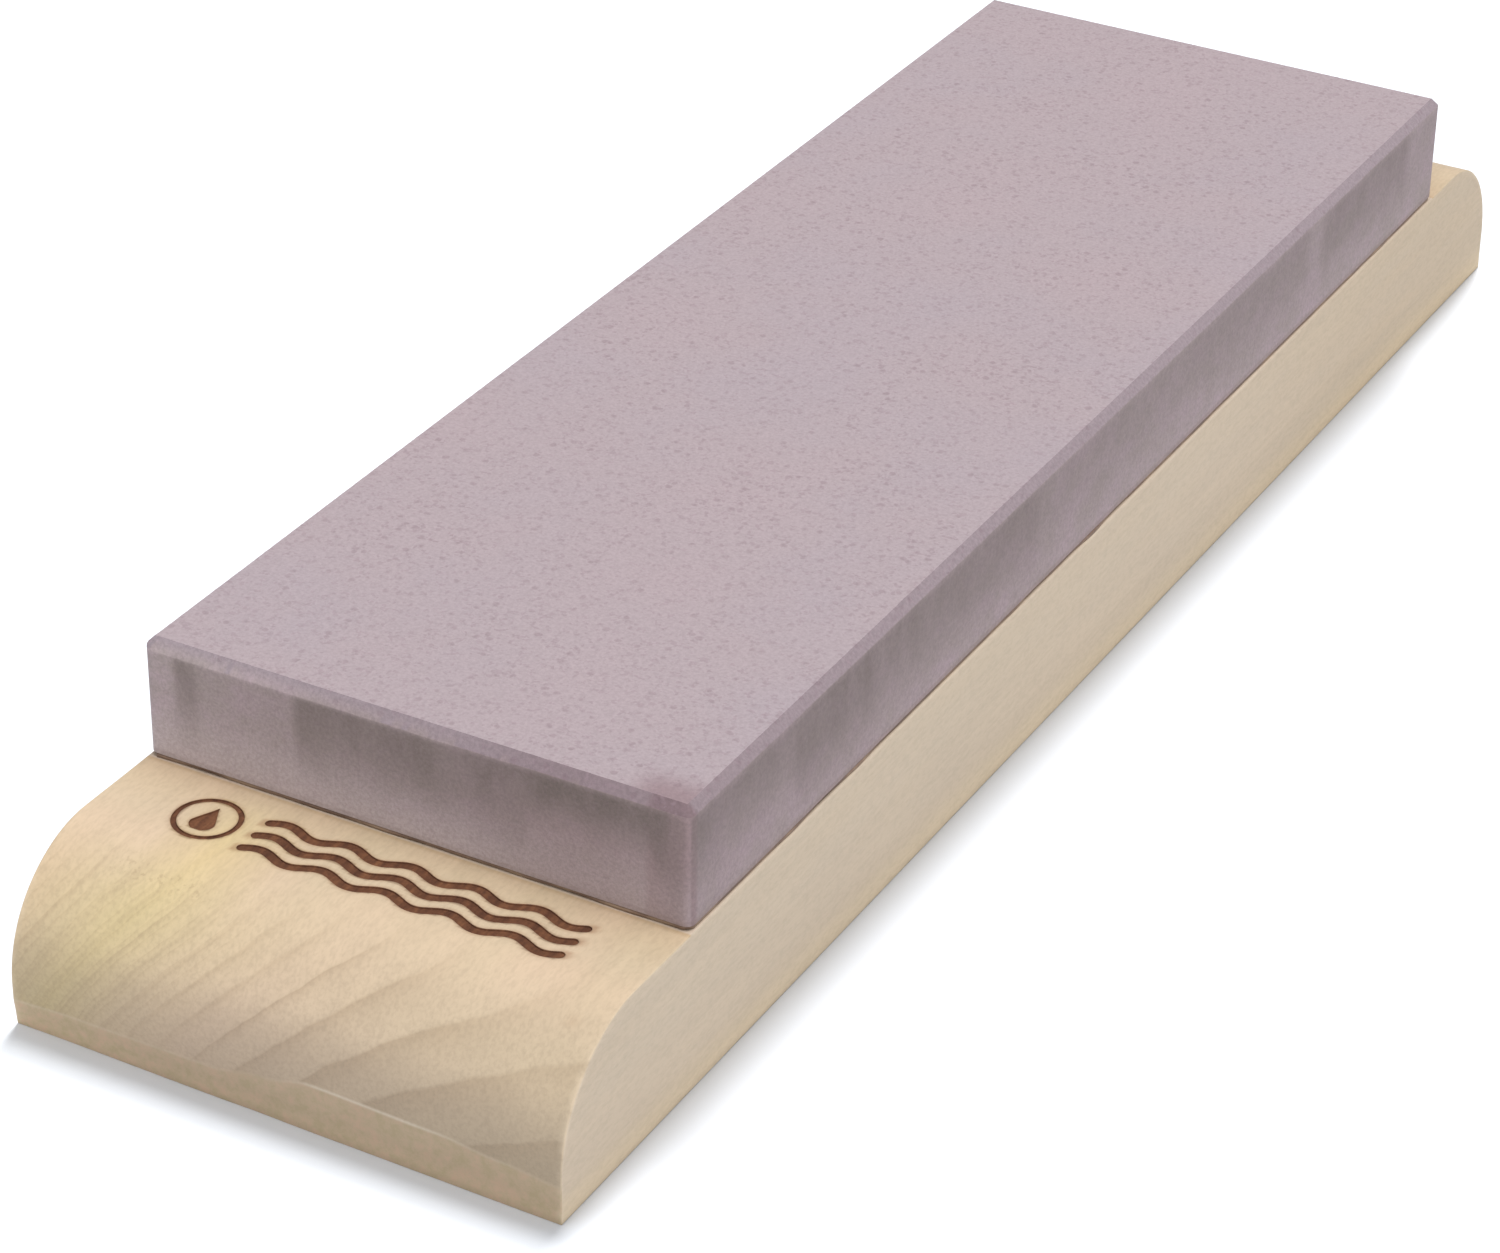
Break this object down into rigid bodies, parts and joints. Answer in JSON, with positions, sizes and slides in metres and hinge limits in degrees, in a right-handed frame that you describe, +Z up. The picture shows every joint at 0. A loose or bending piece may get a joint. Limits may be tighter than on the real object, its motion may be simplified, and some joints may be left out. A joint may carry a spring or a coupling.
{
  "type": "sharpening stone on a wooden base",
  "caption": "Flat rectangular fine abrasive block bonded on a slightly longer wooden base with rounded-over ends, for honing knives, chisels and planes.",
  "frame": {"origin": "centre of the wooden base's flat underside, on the surface that it rests on", "axes": "+Z up out of the stone's working face; the length lies along Y, with the longer bare end of the base at -Y; +X is across the width, to the right when seen from -Y"},
  "size_m": [0.0704, 0.26, 0.036],
  "materials": {
    "base_wood": "matte",
    "adhesive": "satin",
    "abrasive": "matte"
  },
  "bodies": {
    "root": {"wooden_base": "base_wood", "adhesive_layer": "adhesive", "sharpening_stone": "abrasive"}
  },
  "joints": []
}
